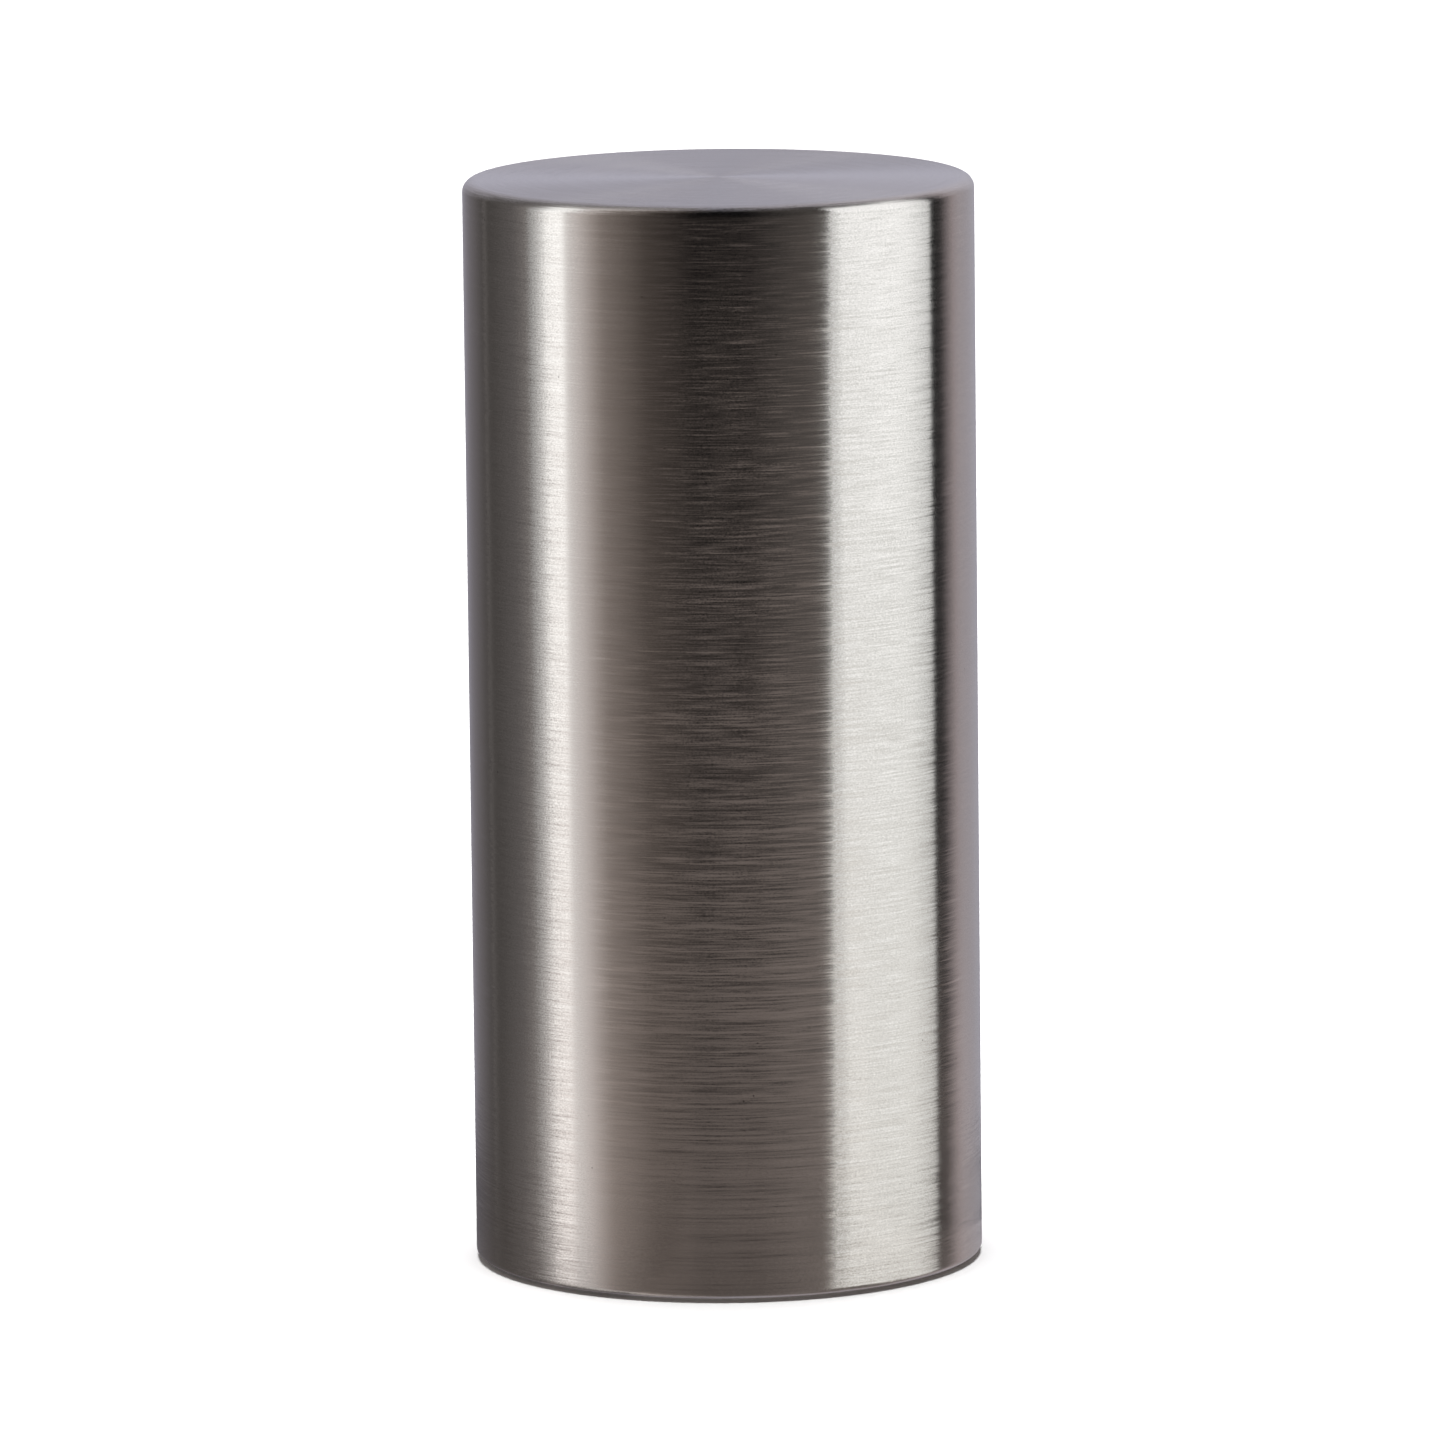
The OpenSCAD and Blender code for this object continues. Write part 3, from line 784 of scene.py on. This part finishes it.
collar_low, collar_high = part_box("collar")
collar_bore_r = 0.01075
bore_chamfer = 0.0003
notch_r = 0.01755
notch_w = 0.0034
notch_h = 0.02
recess_in_r, recess_out_r = 0.01785, 0.0218
recess_top_z = 0.0822
grub_z = 0.0861
grub_r = 0.001
outline = (
    [(collar_bore_r, collar_low.z), (recess_in_r, collar_low.z), (recess_in_r, recess_top_z)]
    + [(recess_out_r, recess_top_z), (recess_out_r, collar_low.z)]
    + arc(dial_r - edge_r, collar_low.z + edge_r, edge_r, -90, 0, 5)
    + arc(dial_r - edge_r, collar_high.z - edge_r, edge_r, 0, 90, 5)
    + [(collar_bore_r + bore_chamfer, collar_high.z), (collar_bore_r, collar_high.z - bore_chamfer)]
)
collar = piece("collar_ring", turned(outline, 192), turned_steel)
shape = bmesh.new()
bmesh.ops.create_cube(shape, size=1)
bmesh.ops.scale(shape, verts=shape.verts, vec=(notch_w, notch_r, notch_h))
bmesh.ops.translate(shape, verts=shape.verts, vec=(0, -notch_r / 2, collar_low.z))
cut(collar, piece("notch", shape, turned_steel))
drill(collar, grub_r, collar_bore_r / 2, grub_z, screw_azimuths, turned_steel)
drill_for_pin(collar, "collar_index_pin", turned_steel)
smooth(collar)
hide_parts("collar")
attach(collar, "core")

# ---- Vault tube ----
# A steel tube that holds what is hidden. It is open at its foot, its mouth is rounded so
# that it slides in easily, and the five brass studs are pressed into holes in its side.

tube_low, tube_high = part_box("vault_tube")
tube_r = tube_high.x
tube_bore_r = 0.0075
lip = 0.0004
stud_low, stud_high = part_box("lock_studs")
stud_r = (stud_high.x - stud_low.x) / 2
dial_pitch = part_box("letter_ring_2")[0].z - ring_low.z
outline = (
    arc(tube_bore_r + lip, tube_low.z + lip, lip, 180, 270, 4)
    + arc(tube_r - lip, tube_low.z + lip, lip, 270, 360, 4)
    + [(tube_r, tube_high.z), (tube_bore_r, tube_high.z)]
)
tube = piece("vault_tube_wall", turned(outline, 128), tube_steel)
for i in dials:
    stud_z = stud_low.z + stud_r + (i - 1) * dial_pitch
    drill(tube, stud_r, tube_bore_r / 2, stud_z, (reading_line,), tube_steel)
smooth(tube)
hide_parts("vault_tube")
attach(tube, "vault")

# ---- Vault head ----
# The knob that closes the tube and that a hand pulls, turned from steel bar. Its neck is
# milled with flutes for grip, and its flange holds the upper seal and centres the cover.

head_low, head_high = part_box("vault_head")
head_skirt_z = 0.09335
neck_r = 0.0206
neck_fillet = 0.0004
flange_z = 0.09875
flange_edge_r = 0.0006
socket_r = tube_r
socket_z = tube_high.z
flute_count = 36
spins_per_flute = 12
flute_r = 0.0009
flute_depth = 0.0005
flute_low, flute_high = 0.09415, 0.09795
head_screw_z = 0.09605
head_screw_r = 0.0015
flute_rows = [flute_low + flute_r * part for part in (0, 0.15, 0.4, 1)]
flute_rows += [flute_high - flute_r * part for part in (1, 0.4, 0.15, 0)]
outline = (
    [(0, socket_z), (socket_r, socket_z), (socket_r, head_low.z)]
    + arc(dial_r - edge_r, head_low.z + edge_r, edge_r, -90, 0, 5)
    + arc(dial_r - edge_r, head_skirt_z - edge_r, edge_r, 0, 90, 5)
    + arc(neck_r + neck_fillet, head_skirt_z + neck_fillet, neck_fillet, 270, 180, 4)
    + [(neck_r, z) for z in flute_rows]
    + arc(neck_r + neck_fillet, flange_z - neck_fillet, neck_fillet, 180, 90, 4)
    + arc(head_high.x - flange_edge_r, flange_z + flange_edge_r, flange_edge_r, -90, 0, 5)
    + seal_groove("head_o_ring", head_high.x)
    + arc(head_high.x - flange_edge_r, head_high.z - flange_edge_r, flange_edge_r, 0, 90, 5)
    + [(0, head_high.z)]
)
shape = turned(outline, flute_count * spins_per_flute)
milled(shape, neck_r + flute_r - flute_depth, flute_r, flute_count, index + pi / flute_count,
       flute_low, flute_high, ball=True)
head = piece("vault_knob", shape, turned_steel)
drill(head, head_screw_r, socket_r - overlap, head_screw_z, (0, 180), turned_steel)
drill_for_pin(head, "head_index_pin", turned_steel)
smooth(head)
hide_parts("vault_head")
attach(head, "vault")

# ---- Felt ----
# A disc punched from grey wool felt and glued under the cover's top, so that the cover lands
# softly on the vault's head. Its face is fuzzy and a little uneven.

felt_low, felt_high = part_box("cover_felt")
felt_r = felt_high.x
felt_t = felt_high.z - felt_low.z
felt_edge = 0.0003
felt_rings = 24
felt_bumps = 0.00012
felt_raggedness = 0.006

felt_wool, tree, place = new_material("grey_felt")
warp = wire(tree, "ShaderNodeTexNoise", Vector=place, Scale=900.0, Detail=2.0)
tangled = vector(tree, "ADD", place, vector(tree, "SCALE", warp.outputs["Color"], Scale=0.0025))
fibres = wire(tree, "ShaderNodeTexNoise", Vector=tangled, Scale=6000.0, Detail=4.0, Roughness=0.7)
clumps = wire(tree, "ShaderNodeTexNoise", Vector=place, Scale=700.0, Detail=3.0)
nap = wire(tree, "ShaderNodeMix", data_type="FLOAT", Factor=0.4, A=fibres.outputs["Fac"],
           B=clumps.outputs["Fac"]).outputs[0]
greys = [(0.35, (0.010, 0.010, 0.012)), (0.6, (0.035, 0.035, 0.039)), (0.75, (0.09, 0.09, 0.096))]
fuzz = wire(tree, "ShaderNodeBump", Strength=0.8, Distance=0.0001, Height=nap)
surface(tree, Base_Color=ramp(tree, nap, greys), Normal=fuzz.outputs[0], Roughness=0.95,
        Specular_IOR_Level=0.2, Sheen_Weight=0.35, Sheen_Roughness=0.5)

outline = (
    [(felt_r * k / felt_rings, felt_low.z) for k in range(felt_rings)]
    + arc(felt_r - felt_edge, felt_low.z + felt_edge, felt_edge, -90, 0, 4)
    + [(felt_r, felt_high.z), (0, felt_high.z)]
)
shape = turned(outline, 96)
for vert in shape.verts:
    depth = (felt_high.z - vert.co.z) / felt_t
    vert.co.z += felt_bumps * depth * (0.5 + 0.5 * noise.noise(vert.co * 600))
    vert.co.xy *= 1 - felt_raggedness * depth * (0.5 + 0.5 * noise.noise(vert.co * 400))
felt = piece("felt_disc", shape, felt_wool)
smooth(felt, 60)
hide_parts("cover_felt")
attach(felt, "cover")

# ---- Cover ----
# A cup drawn from 1.2 mm stainless sheet. Its wall is brushed round the axis on a lathe,
# its flat top in circles, its top edge is rolled over and its lower rim dressed round.

cover_wall = 0.0012
bore_r = cover_r - cover_wall
top_edge_r = 0.0012
top_edge_z = total_h - top_edge_r
corner_r = 0.0008
rim_r = cover_wall / 2
rim_z = cover_low.z + rim_r
ceiling_z = felt_high.z
wall_rings = 8
cover_steel = brushed("cover_steel", (0.66, 0.645, 0.63), roughness=0.21, pitch=0.00013, length=0.0035,
                      tilt=0.3, shift=0.025, pitted=True)
outline = (
    [(0, ceiling_z), (bore_r - corner_r, ceiling_z)]
    + arc(bore_r - corner_r, ceiling_z - corner_r, corner_r, 90, 0, 8)[1:]
    + [(bore_r, rim_z + (ceiling_z - rim_z) * k / wall_rings) for k in range(wall_rings - 1, 0, -1)]
    + arc(cover_r - rim_r, rim_z, rim_r, 180, 360, 16)
    + [(cover_r, rim_z + (top_edge_z - rim_z) * k / wall_rings) for k in range(1, wall_rings)]
    + arc(cover_r - top_edge_r, top_edge_z, top_edge_r, 0, 90, 16)
    + [(0, total_h)]
)
cover = piece("cover_shell", turned(outline, 256), cover_steel)
smooth(cover)
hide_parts("cover")
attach(cover, "cover")
